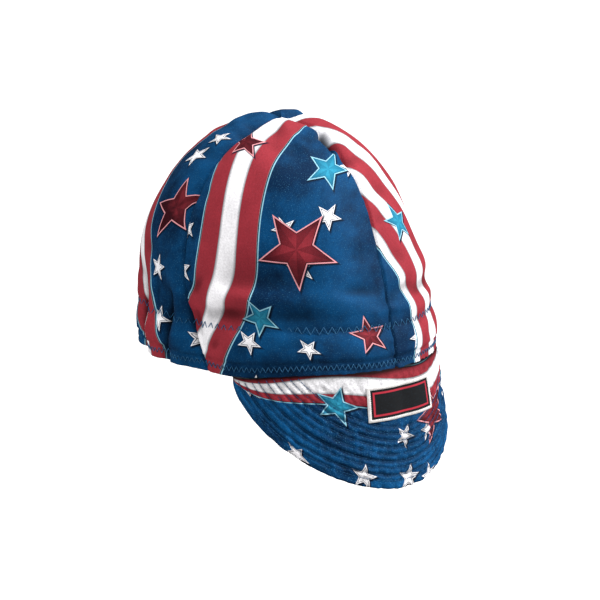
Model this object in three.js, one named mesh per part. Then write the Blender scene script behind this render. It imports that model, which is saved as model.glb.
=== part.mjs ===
// A welder's soft cotton cap, worn shape: a deep crown of four gores, gathered at the back,
// a headband sewn inside its rim, a soft peak hanging down in front, and a blank sewn-on patch.
// Millimetres, +Z up. The origin is the middle of the rim, where a head goes in.
// The peak points to -Y, so +X is the wearer's left.
import * as THREE from "three";

// Crown
const rimLength = 202; // outside, front to back at the rim
const rimWidth = 174.6; // outside, side to side at the rim
const crownHeight = 147; // rim to the highest part of the crown
const crownWall = 1.6; // printed cotton with its seam and hem layers
const seamGap = 0.3; // clear of the next piece, at every seam
const rimRiseFront = 4; // how far the rim lifts over the brow
const rimRiseBack = 3.5; // and over the nape
const rimRiseFade = 45; // height at which that lift has died away
const seamDip = 1.4; // how deep a sewn seam pulls the cloth in
const seamDipWidth = 7; // to each side of the seam line
const sideSeamDeg = 90; // side seams, measured round from the front
const sideSeamLeanDeg = 13; // how far they come forward at the rim
const sideSeamLeanClimb = 0.5; // share up the crown where they begin to

// Gathers that the elastic makes round the back, between the side seams
const gatherCount = 6; // folds on each side, the last one on the back seam
const gatherLead = 0.875; // share of a fold that is already over at the side seam
const gatherDepth = 3.2;
const gatherFade = 28; // height over which the gathers die away above the headband

// Headband
const bandHeight = 28;
const bandWall = 1.2;

// Peak
const peakReach = 71.6; // root to edge in the middle, along the cloth
const peakCornerLength = 3; // what is left of it at its two corners
const peakHalfTurnDeg = 65.5; // where its corners meet the rim
const peakWall = 2.8;
const peakInset = 0.3; // root set back from the crown's outer face
const peakRootSlopeDeg = { middle: 76.5, corner: 82 }; // below level
const peakEdgeSlopeDeg = { middle: 89.5, corner: 76 };
const peakRoundness = 1.75; // shape of the outer edge, as powers of the turn
const peakFullness = 0.8;

// Patch
const patchWidth = 48;
const patchHeight = 20;
const patchWall = 0.8;
const patchDrop = 9; // below the peak's root

// Grid
const bandRows = 2;
const crownRows = 15; // above the headband
const frontColumns = 20; // across a front gore at the rim
const backColumns = 44;
const halvingClimbs = [0.4, 0.8]; // shares up the crown above which a row has half as many
const peakColumns = 42;
const peakRows = 8;
const patchColumns = 8;
const patchRows = 3;
const slopeSteps = 12; // in summing the peak's bend
const searchSteps = 40; // in finding the climb that reaches a height
const searchTop = 0.9; // share up the crown below which heights only rise

// Level sections of the crown, from the rim up: shares of the crown's height, of the rim's half length and
// of its half width, and how far the section sits back, as a share of the rim's half length.
const sections = [
  { height: 0.0, length: 1.0, width: 1.0, back: 0.015 },
  { height: 0.122, length: 0.988, width: 0.998, back: 0.03 },
  { height: 0.245, length: 0.968, width: 0.979, back: 0.048 },
  { height: 0.367, length: 0.941, width: 0.951, back: 0.066 },
  { height: 0.483, length: 0.902, width: 0.91, back: 0.079 },
  { height: 0.599, length: 0.842, width: 0.847, back: 0.082 },
  { height: 0.707, length: 0.751, width: 0.752, back: 0.074 },
  { height: 0.806, length: 0.636, width: 0.636, back: 0.064 },
  { height: 0.888, length: 0.493, width: 0.493, back: 0.059 },
  { height: 0.952, length: 0.333, width: 0.331, back: 0.059 },
  { height: 0.992, length: 0.168, width: 0.166, back: 0.059 },
  { height: 0.992, length: 0.0, width: 0.0, back: 0.059 },
];

// Soft dents of the worn cloth, and swells where the depth is negative: their place round from the front
// and up the crown, their spread, how far round they slant for the whole climb, and their depth.
const folds = [
  { turnDeg: -5, climb: 0.8, wideDeg: 9, tall: 0.045, slantDeg: 0, depth: 3 }, // pucker on the front seam
  { turnDeg: 10, climb: 0.82, wideDeg: 11, tall: 0.06, slantDeg: 0, depth: -1.2 },
  { turnDeg: -92, climb: 0.84, wideDeg: 14, tall: 0.07, slantDeg: 0, depth: 2.4 }, // crease under the top
  { turnDeg: -72, climb: 0.82, wideDeg: 13, tall: 0.08, slantDeg: 0, depth: -1.3 },
  { turnDeg: 88, climb: 0.84, wideDeg: 13, tall: 0.07, slantDeg: 0, depth: 2 },
  { turnDeg: 180, climb: 0.8, wideDeg: 14, tall: 0.08, slantDeg: 0, depth: 2 },
  { turnDeg: -80, climb: 0.22, wideDeg: 6, tall: 0.14, slantDeg: -40, depth: 2.6 }, // beside a side seam
  { turnDeg: -90, climb: 0.26, wideDeg: 7, tall: 0.13, slantDeg: -40, depth: -1.8 },
  { turnDeg: 80, climb: 0.22, wideDeg: 7, tall: 0.14, slantDeg: 40, depth: 2.2 },
  { turnDeg: -56, climb: 0.31, wideDeg: 14, tall: 0.06, slantDeg: 0, depth: 1.6 }, // slack over a temple
  { turnDeg: 58, climb: 0.34, wideDeg: 16, tall: 0.06, slantDeg: 0, depth: 1.2 },
  { turnDeg: -48, climb: 0.175, wideDeg: 24, tall: 0.03, slantDeg: 0, depth: 1.6 }, // tucks above the band
  { turnDeg: -40, climb: 0.23, wideDeg: 30, tall: 0.04, slantDeg: 0, depth: -1.4 },
  { turnDeg: 38, climb: 0.225, wideDeg: 26, tall: 0.03, slantDeg: 0, depth: 2 },
  { turnDeg: 42, climb: 0.29, wideDeg: 28, tall: 0.04, slantDeg: 0, depth: -1 },
];

const cloth = { print: 0x16508c, band: 0x174a80, patch: 0x1d1d20 };

const faceStep = 1e-3; // step in turn and climb for finding which way a face looks
const rad = THREE.MathUtils.degToRad;
const up = new THREE.Vector3(0, 0, 1);

// A column of a table at a share of its length, along a Catmull-Rom curve through the rows.
function along(table, column, share) {
  const last = table.length - 1;
  const place = THREE.MathUtils.clamp(share, 0, 1) * last;
  const row = Math.min(Math.floor(place), last - 1);
  const at = (i) => {
    if (i < 0) return 2 * table[0][column] - table[1][column];
    if (i > last) return 2 * table[last][column] - table[last - 1][column];
    return table[i][column];
  };
  const t = place - row;
  const [a, b, c, d] = [at(row - 1), at(row), at(row + 1), at(row + 2)];
  return b + 0.5 * t * (c - a + t * (2 * a - 5 * b + 4 * c - d + t * (3 * (b - c) + d - a)));
}

const bell = (x) => Math.exp(-x * x);

// An angle brought to within half a turn of nought.
const wrap = (turn) => Math.atan2(Math.sin(turn), Math.cos(turn));

// Where a seam runs, as a turn from the front: the side seams come forward towards the rim.
function seamTurn(seam, climb) {
  const forward = rad(sideSeamLeanDeg) * (1 - Math.min(climb / sideSeamLeanClimb, 1)) ** 2;
  return {
    front: 0,
    left: rad(sideSeamDeg) - forward,
    back: Math.PI,
    right: -rad(sideSeamDeg) + forward,
  }[seam];
}

function rimRise(turn) {
  const ahead = Math.cos(turn);
  return ahead > 0 ? rimRiseFront * ahead ** 3 : rimRiseBack * ahead ** 2;
}

// The crown's outer face before seams, folds and gathers.
function smoothCrown(turn, climb) {
  const height = along(sections, "height", climb) * crownHeight;
  const halfLength = (along(sections, "length", climb) * rimLength) / 2;
  const halfWidth = (along(sections, "width", climb) * rimWidth) / 2;
  const back = (along(sections, "back", climb) * rimLength) / 2;
  const lift = rimRise(turn) * Math.max(1 - height / rimRiseFade, 0) ** 2;
  return new THREE.Vector3(
    halfWidth * Math.sin(turn),
    back - halfLength * Math.cos(turn),
    height + lift,
  );
}

// Which way is out of a face that is given as a function of two numbers.
function outward(face, u, v) {
  const du = face(u + faceStep, v).sub(face(u - faceStep, v));
  const dv = face(u, v + faceStep).sub(face(u, v - faceStep));
  return du.cross(dv).normalize();
}

// How far the cloth is pulled in at a place on the crown.
function pulledIn(turn, climb) {
  const place = smoothCrown(turn, climb);
  const radius = Math.hypot(place.x, place.y);
  const seamAngles = ["front", "left", "back", "right"].map((seam) => wrap(turn - seamTurn(seam, climb)));
  const acrossSeam = radius * Math.min(...seamAngles.map(Math.abs));
  let depth = seamDip * bell(acrossSeam / seamDipWidth);
  for (const fold of folds) {
    const middle = rad(fold.turnDeg + fold.slantDeg * (climb - fold.climb));
    depth +=
      fold.depth *
      bell(wrap(turn - middle) / rad(fold.wideDeg)) *
      bell((climb - fold.climb) / fold.tall);
  }
  return depth + gathered(turn, climb);
}

// Upright gathers round the back, full over the headband and dying away above it.
function gathered(turn, climb) {
  const start = seamTurn("left", 0);
  const share = (Math.abs(wrap(turn)) - start) / (Math.PI - start);
  if (share <= 0) return 0;
  const fold = gatherLead + share * (gatherCount - gatherLead);
  const wave = 0.5 + 0.5 * Math.cos(2 * Math.PI * fold);
  const opening = Math.min(share * gatherCount, 1);
  const height = along(sections, "height", climb) * crownHeight;
  return gatherDepth * opening * wave * bell(Math.max(height - bandHeight, 0) / gatherFade);
}

// The crown's face at a depth into its wall.
function crownFace(turn, climb, depth = 0) {
  const point = smoothCrown(turn, climb);
  const way = climb === 1 ? up : outward(smoothCrown, turn, Math.max(climb, faceStep));
  return point.addScaledVector(way, -pulledIn(turn, climb) - depth);
}

// Triangles of a wall between an outer and an inner grid of points, closed along its edges. A row may have
// fewer points than the one below it, down to a single point. A ring's rows run all the way round.
function wallGeometry(outer, inner, ring = false) {
  const corners = [];
  const face = (a, b, c) => {
    if (a !== b && b !== c && a !== c) corners.push(a, b, c);
  };
  const quad = (a, b, c, d) => {
    face(a, b, c);
    face(a, c, d);
  };
  const stepsOf = (row) => (ring ? row.length : row.length - 1);
  const pick = (row, i, steps) => row[Math.floor((i * stepsOf(row)) / steps) % row.length];
  const top = outer.length - 1;
  for (let j = 0; j < top; j++) {
    const steps = stepsOf(outer[j]);
    const [low, high, lowIn, highIn] = [outer[j], outer[j + 1], inner[j], inner[j + 1]];
    for (let i = 0; i < steps; i++) {
      const at = (row, k) => pick(row, k, steps);
      quad(at(low, i), at(low, i + 1), at(high, i + 1), at(high, i));
      quad(at(lowIn, i), at(highIn, i), at(highIn, i + 1), at(lowIn, i + 1));
    }
    if (!ring) {
      quad(lowIn[0], low[0], high[0], highIn[0]);
      quad(low.at(-1), lowIn.at(-1), highIn.at(-1), high.at(-1));
    }
  }
  for (let i = 0; i < stepsOf(outer[0]); i++) {
    const next = (i + 1) % outer[0].length;
    quad(inner[0][i], inner[0][next], outer[0][next], outer[0][i]);
  }
  for (let i = 0; i < stepsOf(outer[top]); i++) {
    const next = (i + 1) % outer[top].length;
    quad(outer[top][i], outer[top][next], inner[top][next], inner[top][i]);
  }
  const geometry = new THREE.BufferGeometry().setFromPoints(corners);
  geometry.computeVertexNormals();
  return geometry;
}

function clothMesh(name, geometry, color) {
  const material = new THREE.MeshStandardMaterial({ color, roughness: 0.9, metalness: 0 });
  const mesh = new THREE.Mesh(geometry, material);
  mesh.name = name;
  return mesh;
}

const range = (count) => Array.from({ length: count + 1 }, (_, i) => i / count);

// The climb at which the crown reaches a height, found by halving.
function climbAt(height) {
  let [low, high] = [0, searchTop];
  for (let i = 0; i < searchSteps; i++) {
    const middle = (low + high) / 2;
    if (along(sections, "height", middle) * crownHeight < height) low = middle;
    else high = middle;
  }
  return low;
}

// Rows of the crown's grid: the headband's own rows, and then on up to the top.
const bandClimbs = range(bandRows).map((share) => share * climbAt(bandHeight));
const crownClimbs = [
  ...bandClimbs,
  ...range(crownRows)
    .slice(1)
    .map((share) => THREE.MathUtils.lerp(bandClimbs[bandRows], 1, share)),
];

// The two ends of a gore at a climb, as turns from the front, the second one the larger.
function goreEnds(fromSeam, toSeam, climb) {
  const from = seamTurn(fromSeam, climb);
  const to = seamTurn(toSeam, climb);
  return to < from ? [from, to + 2 * Math.PI] : [from, to];
}

// One gore of the crown, between two seams, from the rim to its point at the top.
function goreMesh(name, fromSeam, toSeam, columns) {
  const row = (climb, depth) => {
    const [from, to] = goreEnds(fromSeam, toSeam, climb);
    if (climb === 1) {
      const middle = (from + to) / 2;
      const aside = new THREE.Vector3(Math.sin(middle), -Math.cos(middle), 0);
      return [crownFace(middle, 1, depth).addScaledVector(aside, seamGap)];
    }
    const halfGap = seamGap / (along(sections, "width", climb) * rimWidth);
    const halvings = halvingClimbs.filter((share) => climb > share).length;
    return range(columns / 2 ** halvings).map((share) =>
      crownFace(THREE.MathUtils.lerp(from + halfGap, to - halfGap, share), climb, depth),
    );
  };
  const outer = crownClimbs.map((climb) => row(climb, 0));
  const inner = crownClimbs.map((climb) => row(climb, crownWall));
  return clothMesh(name, wallGeometry(outer, inner), cloth.print);
}

const gores = [
  { name: "gore_front_left", from: "front", to: "left", columns: frontColumns },
  { name: "gore_back_left", from: "left", to: "back", columns: backColumns },
  { name: "gore_back_right", from: "back", to: "right", columns: backColumns },
  { name: "gore_front_right", from: "right", to: "front", columns: frontColumns },
];

// The headband lies inside the gores, follows their gathers, and ends level with their rim.
function headbandMesh() {
  const row = (climb, depth) =>
    gores.flatMap(({ from, to, columns }) => {
      const [start, end] = goreEnds(from, to, climb);
      return range(columns)
        .slice(0, columns)
        .map((share) => crownFace(THREE.MathUtils.lerp(start, end, share), climb, depth));
    });
  const outside = crownWall + seamGap;
  const outer = bandClimbs.map((climb) => row(climb, outside));
  const inner = bandClimbs.map((climb) => row(climb, outside + bandWall));
  return clothMesh("headband", wallGeometry(outer, inner, true), cloth.band);
}

// How long the peak is, root to edge, at a turn from the front.
function peakLength(turn) {
  const share = Math.min(Math.abs(turn) / rad(peakHalfTurnDeg), 1);
  const fullness = (1 - share ** peakRoundness) ** peakFullness;
  return THREE.MathUtils.lerp(peakCornerLength, peakReach, fullness);
}

// The peak's upper face. It leaves the rim steeply and bends on down, so its slope is summed along the cloth.
function peakFace(turn, drop, depth = 0) {
  const point = crownFace(turn, 0, peakInset).addScaledVector(up, -seamGap);
  const out = new THREE.Vector3(Math.sin(turn) / rimWidth, -Math.cos(turn) / rimLength, 0).normalize();
  const side = (turn / rad(peakHalfTurnDeg)) ** 2;
  const rootSlope = THREE.MathUtils.lerp(peakRootSlopeDeg.middle, peakRootSlopeDeg.corner, side);
  const edgeSlope = THREE.MathUtils.lerp(peakEdgeSlopeDeg.middle, peakEdgeSlopeDeg.corner, side);
  const reached = drop / peakLength(turn);
  const slopeAt = (share) => rad(THREE.MathUtils.lerp(rootSlope, edgeSlope, share * reached));
  for (let i = 0; i < slopeSteps; i++) {
    const slope = slopeAt((i + 0.5) / slopeSteps);
    point.addScaledVector(out, (Math.cos(slope) * drop) / slopeSteps);
    point.addScaledVector(up, (-Math.sin(slope) * drop) / slopeSteps);
  }
  const way = out.multiplyScalar(Math.sin(slopeAt(1))).addScaledVector(up, Math.cos(slopeAt(1)));
  return point.addScaledVector(way, -depth);
}

function peakMesh() {
  const halfTurn = rad(peakHalfTurnDeg);
  const face = (depth) =>
    range(peakRows)
      .reverse()
      .map((share) =>
        range(peakColumns).map((across) => {
          const turn = THREE.MathUtils.lerp(-halfTurn, halfTurn, across);
          return peakFace(turn, share * peakLength(turn), depth);
        }),
      );
  return clothMesh("peak", wallGeometry(face(0), face(peakWall)), cloth.print);
}

// The patch lies on the middle of the peak and bends with it.
function patchMesh() {
  const halfTurn = Math.asin(patchWidth / rimWidth);
  const face = (lift) =>
    range(patchRows)
      .reverse()
      .map((share) =>
        range(patchColumns).map((across) => {
          const turn = THREE.MathUtils.lerp(-halfTurn, halfTurn, across);
          return peakFace(turn, patchDrop + share * patchHeight, -lift);
        }),
      );
  return clothMesh("patch", wallGeometry(face(seamGap + patchWall), face(seamGap)), cloth.patch);
}

const crown = new THREE.Group();
for (const { name, from, to, columns } of gores) crown.add(goreMesh(name, from, to, columns));

const cap = new THREE.Group();
cap.add(crown, headbandMesh(), peakMesh(), patchMesh());

export default cap;
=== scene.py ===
import math

import bmesh
import bpy
import numpy as np
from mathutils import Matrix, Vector


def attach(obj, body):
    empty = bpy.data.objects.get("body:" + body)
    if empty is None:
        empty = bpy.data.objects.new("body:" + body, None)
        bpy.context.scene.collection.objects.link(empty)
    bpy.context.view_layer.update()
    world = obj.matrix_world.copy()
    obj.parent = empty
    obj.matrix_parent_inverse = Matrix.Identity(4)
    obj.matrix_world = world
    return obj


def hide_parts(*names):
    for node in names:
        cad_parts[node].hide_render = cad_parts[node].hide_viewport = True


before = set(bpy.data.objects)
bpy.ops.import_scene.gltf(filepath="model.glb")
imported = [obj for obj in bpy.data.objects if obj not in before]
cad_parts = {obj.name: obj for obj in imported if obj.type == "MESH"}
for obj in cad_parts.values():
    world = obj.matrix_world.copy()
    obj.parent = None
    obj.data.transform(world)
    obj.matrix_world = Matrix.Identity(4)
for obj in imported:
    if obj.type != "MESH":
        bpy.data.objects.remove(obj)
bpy.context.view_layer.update()  # the cap's solids, which every piece below follows
print("frame loaded:", sorted(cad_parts))


# camera at the photograph's angle; the rim's middle falls on one chosen pixel of the frame
viewpoint = {
    "azimuthDeg": -42,
    "elevationDeg": 12.6,
    "distance": 1.3,
    "metresPerPixel": 0.000631,  # at the rim's middle
    "frameWidth": 600,
    "rimMiddlePixel": (288, 344.5),
    "sensorWidth": 36,
}


def setCamera():
    v = viewpoint
    azimuth, elevation = math.radians(v["azimuthDeg"]), math.radians(v["elevationDeg"])
    right = Vector((math.cos(azimuth), math.sin(azimuth), 0))
    back = Vector((math.sin(azimuth), -math.cos(azimuth), math.tan(elevation))).normalized()
    above = back.cross(right)
    middle = v["frameWidth"] / 2
    across = (middle - v["rimMiddlePixel"][0]) * v["metresPerPixel"]
    upwards = (v["rimMiddlePixel"][1] - middle) * v["metresPerPixel"]
    lens = bpy.data.cameras.new("camera")
    lens.sensor_width = v["sensorWidth"]
    lens.lens = v["distance"] / v["metresPerPixel"] / v["frameWidth"] * v["sensorWidth"]
    camera = bpy.data.objects.new("camera", lens)
    camera.location = right * across + above * upwards + back * v["distance"]
    camera.rotation_euler = back.to_track_quat("Z", "Y").to_euler()
    bpy.context.scene.collection.objects.link(camera)
    bpy.context.scene.camera = camera
    return right, back, above


# soft daylight studio: a large key from the viewer's right, one lamp above, a weak fill, a plain pale sweep
studio = {
    "floorHeight": -0.30,
    "floorSpan": 5.0,
    "floorRoughness": 0.9,
    "sweepRadius": 1.2,
    "sweepSteps": 12,
    "floorColour": "#f4f4f4",
    "floorGlow": 0.55,
    "worldColour": "#ffffff",
    "worldStrength": 0.48,
    # name, across to the viewer's right, above, towards the viewer, width, power in watts
    "lights": [
        ("key", 1.25, 0.75, 0.55, 0.6, 30),
        ("top", 0.25, 1.4, 0.1, 0.7, 11),
        ("fill", -1.1, 0.35, 0.9, 0.8, 10),
    ],
}


def linear(hexColour):
    channels = [int(hexColour[i : i + 2], 16) / 255 for i in (1, 3, 5)]
    return [c / 12.92 if c <= 0.04045 else ((c + 0.055) / 1.055) ** 2.4 for c in channels] + [1.0]


def setStudio(right, back, above):
    scene = bpy.context.scene
    scene.view_settings.view_transform = "Standard"
    scene.view_settings.look = "None"
    world = bpy.data.worlds.new("studio")
    world.use_nodes = True
    background = world.node_tree.nodes["Background"]
    background.inputs["Color"].default_value = linear(studio["worldColour"])
    background.inputs["Strength"].default_value = studio["worldStrength"]
    world.cycles_visibility.glossy = False  # no haze over the whole cap
    scene.world = world
    for name, across, high, near, width, power in studio["lights"]:
        lamp = bpy.data.lights.new(name, "AREA")
        lamp.size = width
        lamp.energy = power
        holder = bpy.data.objects.new(name, lamp)
        holder.location = right * across + above * high + back * near
        holder.visible_glossy = across > 0
        holder.rotation_euler = holder.location.to_track_quat("Z", "Y").to_euler()
        scene.collection.objects.link(holder)
    span, low, radius = studio["floorSpan"], studio["floorHeight"], studio["sweepRadius"]
    away = -Vector((back.x, back.y, 0)).normalized()
    profile = [(-span / 2, low)]
    for step in range(studio["sweepSteps"] + 1):
        bend = math.pi / 2 * step / studio["sweepSteps"]
        profile.append((span / 4 + radius * math.sin(bend), low + radius * (1 - math.cos(bend))))
    profile.append((span / 4 + radius, low + span / 2))
    corners = []
    for depth, height in profile:
        for side in (-span, span):
            corners.append(away * depth + right * side + Vector((0, 0, height)))
    faces = [(2 * i, 2 * i + 1, 2 * i + 3, 2 * i + 2) for i in range(len(profile) - 1)]
    mesh = bpy.data.meshes.new("sweep")
    mesh.from_pydata(corners, [], faces)
    mesh.polygons.foreach_set("use_smooth", [True] * len(faces))
    sweep = bpy.data.objects.new("sweep", mesh)
    scene.collection.objects.link(sweep)
    paper = bpy.data.materials.new("sweepPaper")
    paper.use_nodes = True
    shader = paper.node_tree.nodes["Principled BSDF"]
    shader.inputs["Base Color"].default_value = linear(studio["floorColour"])
    shader.inputs["Roughness"].default_value = studio["floorRoughness"]
    shader.inputs["Emission Color"].default_value = linear(studio["floorColour"])
    shader.inputs["Emission Strength"].default_value = studio["floorGlow"]
    mesh.materials.append(paper)
    sweep.visible_diffuse = False  # a white page behind the cap, which doesn't light it
    sweep.visible_glossy = False


# the crown's cut and its worn shape, the same sizes as its solids, in metres
crown = {
    "rimLength": 0.202,
    "rimWidth": 0.1746,
    "height": 0.147,
    "wall": 0.0016,
    "rimRiseFront": 0.004,
    "rimRiseBack": 0.0035,
    "rimRiseFade": 0.045,
    "seamDip": 0.0014,
    "seamDipWidth": 0.007,
    "sideSeamDeg": 90,
    "sideSeamLeanDeg": 13,
    "sideSeamLeanClimb": 0.5,
    "clothLength": 0.19,  # along the cloth from rim to crown top
    "girthRadius": 0.09,  # turns an angle round the crown into a length of cloth
}
crownSections = {  # level sections from the rim up, as shares of the sizes above
    "height": [0, 0.122, 0.245, 0.367, 0.483, 0.599, 0.707, 0.806, 0.888, 0.952, 0.992, 0.992],
    "length": [1, 0.988, 0.968, 0.941, 0.902, 0.842, 0.751, 0.636, 0.493, 0.333, 0.168, 0],
    "width": [1, 0.998, 0.979, 0.951, 0.91, 0.847, 0.752, 0.636, 0.493, 0.331, 0.166, 0],
    "back": [0.015, 0.03, 0.048, 0.066, 0.079, 0.082, 0.074, 0.064, 0.059, 0.059, 0.059, 0.059],
}
foldColumns = ("turnDeg", "climb", "wideDeg", "tall", "slantDeg", "depth")
crownFolds = [  # dents of the worn cloth, and swells where the depth is negative
    (-4, 0.77, 8, 0.04, 0, 0.0022),
    (104, 0.87, 13, 0.05, 0, -0.0027),
    (150, 0.86, 16, 0.07, 0, 0.0020),
    (46, 0.50, 26, 0.17, 0, 0.0016),
    (-142, 0.52, 16, 0.13, 0, 0.0011),
    (-52, 0.84, 9, 0.07, 0, 0.0026),
    (-36, 0.735, 6, 0.045, 0, 0.0012),
    (-74, 0.80, 8, 0.07, 0, -0.0012),
    (10, 0.82, 11, 0.06, 0, -0.0012),
    (-92, 0.84, 14, 0.07, 0, 0.0024),
    (88, 0.84, 13, 0.07, 0, 0.002),
    (180, 0.8, 14, 0.08, 0, 0.002),
    (-80, 0.22, 6, 0.14, -40, 0.0026),
    (-90, 0.26, 7, 0.13, -40, -0.0018),
    (80, 0.22, 7, 0.14, 40, 0.0022),
    (-56, 0.31, 14, 0.06, 0, 0.0016),
    (58, 0.34, 16, 0.06, 0, 0.0012),
    (-48, 0.175, 24, 0.03, 0, 0.0022),
    (-40, 0.23, 30, 0.04, 0, -0.0014),
    (38, 0.225, 26, 0.03, 0, 0.002),
    (42, 0.29, 28, 0.04, 0, -0.001),
]
gathers = {  # what the elastic makes round the back of the band
    "count": 6,
    "lead": 0.875,
    "depth": 0.0032,
    "fade": 0.028,
    "creaseDepth": 0.0012,  # finer creases between the main gathers
    "creaseWidth": 0.0052,
    "creaseRows": 5,
    "creaseSeed": 3,
}
creaseColumns = ("fromTurn", "fromClimb", "toTurn", "toClimb", "wide", "depth")
creases = [  # narrow folds, degrees and shares of the climb at both ends; a negative depth is a ridge
    (-95.5, 0.21, -99, 0.03, 0.0042, 0.0042),
    (-97, 0.165, -96, 0.12, 0.0055, 0.0034),
    (-121, 0.15, -122, 0.03, 0.0040, 0.0034),
    (-109, 0.12, -110, 0.03, 0.0060, -0.0019),
    (-89, 0.14, -90, 0.03, 0.0070, -0.0023),
    (-84, 0.19, -77, 0.05, 0.0040, 0.0036),
    (-75, 0.07, -70, 0.105, 0.0040, 0.0020),
    (-77, 0.29, -85, 0.235, 0.0038, 0.0014),
    (-74, 0.192, -58, 0.2, 0.0050, 0.0029),
    (-58, 0.2, -37, 0.192, 0.0045, 0.0010),
    (-71, 0.235, -45, 0.245, 0.0060, -0.0013),
    (-65, 0.05, -56, 0.11, 0.0042, 0.0013),
    (-58, 0.05, -48, 0.115, 0.0045, -0.0008),
    (-49, 0.08, -38, 0.10, 0.0042, 0.0010),
    (-31, 0.05, -22, 0.12, 0.0040, 0.0009),
    (-14, 0.09, -6, 0.12, 0.0032, 0.0008),
    (-22, 0.258, -5, 0.25, 0.0042, 0.0020),
    (4, 0.245, 15, 0.255, 0.0042, 0.0022),
    (12, 0.2, 30, 0.19, 0.0060, -0.0014),
    (0.5, 0.796, -4, 0.724, 0.0023, 0.0088),
    (-3.5, 0.715, 3, 0.65, 0.0028, 0.0012),
    (-7, 0.755, 1, 0.690, 0.0042, -0.0016),
    (5, 0.775, 6, 0.70, 0.0042, -0.0022),
    (-14, 0.86, -6, 0.74, 0.0070, -0.0014),
    (14, 0.84, 22, 0.64, 0.0080, -0.0018),
    (4, 0.72, 6, 0.50, 0.0050, -0.0010),
    (-26, 0.90, -24, 0.78, 0.0055, 0.0018),
    (-62, 0.86, -44, 0.70, 0.0100, 0.0016),
    (-78, 0.80, -70, 0.66, 0.0060, 0.0010),
    (60, 0.19, 72, 0.05, 0.0042, 0.0020),
    (83, 0.2, 80, 0.05, 0.0040, 0.0026),
    (99, 0.19, 101, 0.03, 0.0045, 0.0030),
    (120, 0.16, 118, 0.03, 0.0042, 0.0026),
    (110, 0.13, 109, 0.03, 0.0060, -0.0016),
    (90, 0.14, 90, 0.03, 0.0070, -0.0018),
    (141, 0.18, 139, 0.03, 0.0045, 0.0026),
    (-140, 0.17, -142, 0.03, 0.0045, 0.0028),
    (162, 0.16, 160, 0.03, 0.0045, 0.0024),
    (-160, 0.19, -161, 0.03, 0.0045, 0.0026),
    (52, 0.26, 78, 0.235, 0.0050, 0.0012),
    (20, 0.06, 32, 0.115, 0.0042, 0.0012),
    (40, 0.05, 50, 0.11, 0.0042, 0.0010),
    (62, 0.88, 50, 0.70, 0.0090, 0.0015),
    (135, 0.86, 128, 0.68, 0.0090, 0.0014),
    (-140, 0.85, -130, 0.70, 0.0090, 0.0014),
]
band = {
    "height": 0.028,
    "wall": 0.0012,
    "gap": 0.0003,
    "hemRow": 0.0046,  # stitch rows, above the rim
    "topRow": 0.0285,
    "rowDip": 0.0006,
    "rowDipWidth": 0.0026,
    "puff": 0.0009,  # how far the band swells between its stitch rows
    "creaseHeight": 0.0080,  # where the cloth folds in above the lower stitch row
    "creaseDip": 0.0009,
    "creaseWidth": 0.0010,
    "ruckDepth": 0.00025,  # little slanted rucks along the stitched hem
    "ruckPitch": 0.0052,
    "ruckSlant": 0.55,
    # where the rim rides up: rise, degrees from the front, its width in degrees, its fade upwards
    "rimLifts": [
        (0.0024, 86, 15, 0.020),
        (0.0025, 38, 20, 0.040),
    ],
}
softness = {  # small life in the cloth, added to the main folds
    "puckerDepth": 0.00045,
    "puckerPitch": 0.0075,
    "puckerReach": 0.007,
    "puckerRows": (3.5, 9.5),  # each side of a seam has its own
    "grooveDepth": 0.0011,
    "grooveWidth": 0.0012,
    "tuckDepth": 0.0008,
    "tuckTall": 0.0055,
    "tuckWide": 0.03,
    "tuckAbove": 0.009,  # how far above the band the tucks are deepest
    "swellDepth": 0.0007,
    "swellSize": 0.026,
    "swellFade": 0.2,
    "apexFrom": 0.62,  # from here up the gores puff and their seams sink
    "apexDip": 0.0032,
    "apexDipWidth": 0.0065,
    "apexPuff": 0.12,
    "seed": 11,
    # painted shade in the cloth's valleys, darker the deeper a place lies below its neighbourhood
    "shadeReach": 0.005,  # how far round a place counts as its neighbourhood
    "shadeDepth": 0.0014,  # a valley this far below it has the first share of its shade
    "shadeFirst": 0.65,  # the rest comes by twice that depth
}
seamNames = ("front", "left", "back", "right")


def bell(x):
    return np.exp(-x * x)


def wrap(turn):
    return np.arctan2(np.sin(turn), np.cos(turn))


def unit(vectors):
    return vectors / np.maximum(np.linalg.norm(vectors, axis=-1, keepdims=True), 1e-12)


def alongColumn(column, share):
    values = np.array(crownSections[column])
    ends = [2 * values[0] - values[1]], [2 * values[-1] - values[-2]]
    padded = np.concatenate([ends[0], values, ends[1]])
    place = np.clip(share, 0, 1) * (len(values) - 1)
    row = np.minimum(place.astype(int), len(values) - 2)
    t = place - row
    a, b, c, d = (padded[row + k] for k in range(4))
    return b + 0.5 * t * (c - a + t * (2 * a - 5 * b + 4 * c - d + t * (3 * (b - c) + d - a)))


def seamTurn(seam, climb):
    lean = np.radians(crown["sideSeamLeanDeg"])
    forward = lean * (1 - np.minimum(climb / crown["sideSeamLeanClimb"], 1)) ** 2
    side = np.radians(crown["sideSeamDeg"]) - forward
    return {"front": 0 * side, "left": side, "back": 0 * side + np.pi, "right": -side}[seam]


def crownHeightAt(climb):
    return alongColumn("height", climb) * crown["height"]


def climbAt(height):
    climbs = np.linspace(0, 0.9, 400)
    return np.interp(height, crownHeightAt(climbs), climbs)


def smoothCrown(turn, climb):
    height = crownHeightAt(climb)
    halfLength = alongColumn("length", climb) * crown["rimLength"] / 2
    halfWidth = alongColumn("width", climb) * crown["rimWidth"] / 2
    back = alongColumn("back", climb) * crown["rimLength"] / 2
    ahead = np.cos(turn)
    rise = np.where(ahead > 0, crown["rimRiseFront"] * ahead**3, crown["rimRiseBack"] * ahead**2)
    lift = rise * np.maximum(1 - height / crown["rimRiseFade"], 0) ** 2
    return np.stack([halfWidth * np.sin(turn), back - halfLength * ahead, height + lift], -1)


def facing(face, u, v, step=1e-3):
    du = face(u + step, v) - face(u - step, v)
    dv = face(u, v + step) - face(u, v - step)
    return unit(np.cross(du, dv))


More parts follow.
